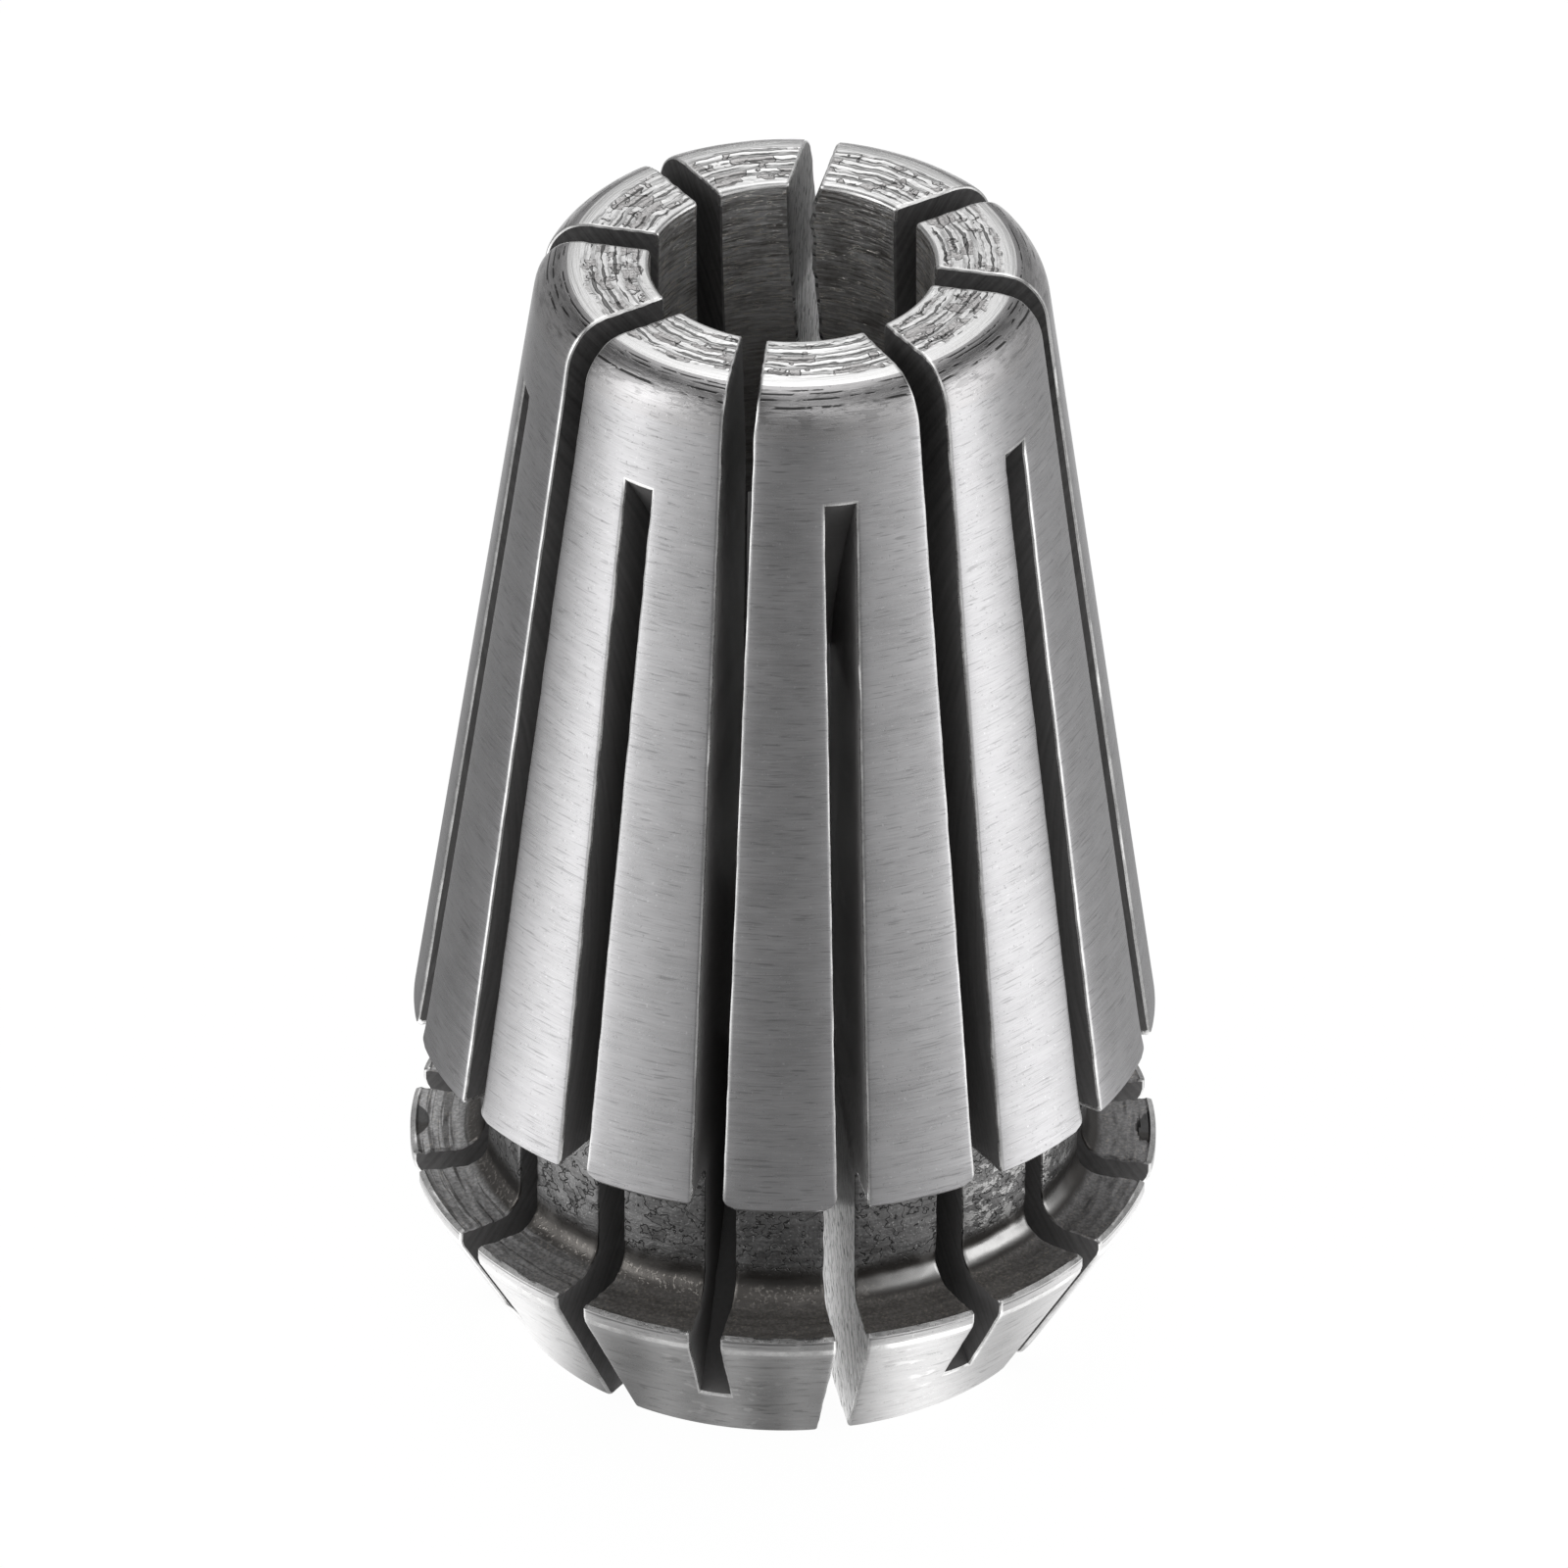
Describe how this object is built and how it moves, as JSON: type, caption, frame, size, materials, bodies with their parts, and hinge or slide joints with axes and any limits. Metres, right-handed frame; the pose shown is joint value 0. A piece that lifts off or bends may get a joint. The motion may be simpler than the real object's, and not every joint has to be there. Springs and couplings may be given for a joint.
{
  "type": "er collet",
  "caption": "Spring collet of the ER16 size: a tapered steel sleeve slit in turn from both ends, with a nut groove, a rim, a short front cone and a plain bore that clamps a round shank.",
  "frame": {"origin": "centre of the flat front face, the large end that the collet stands on, on the axis of the bore", "axes": "+Z runs along the bore axis from the large front face to the small rear end; -Y passes through the middle of one slot cut from the front end"},
  "size_m": [0.017, 0.017, 0.0275],
  "materials": {
    "ground_steel": "satin ground taper, turned end faces and groove, dark sawn slots"
  },
  "bodies": {
    "root": {"collet": "ground_steel"}
  },
  "joints": []
}
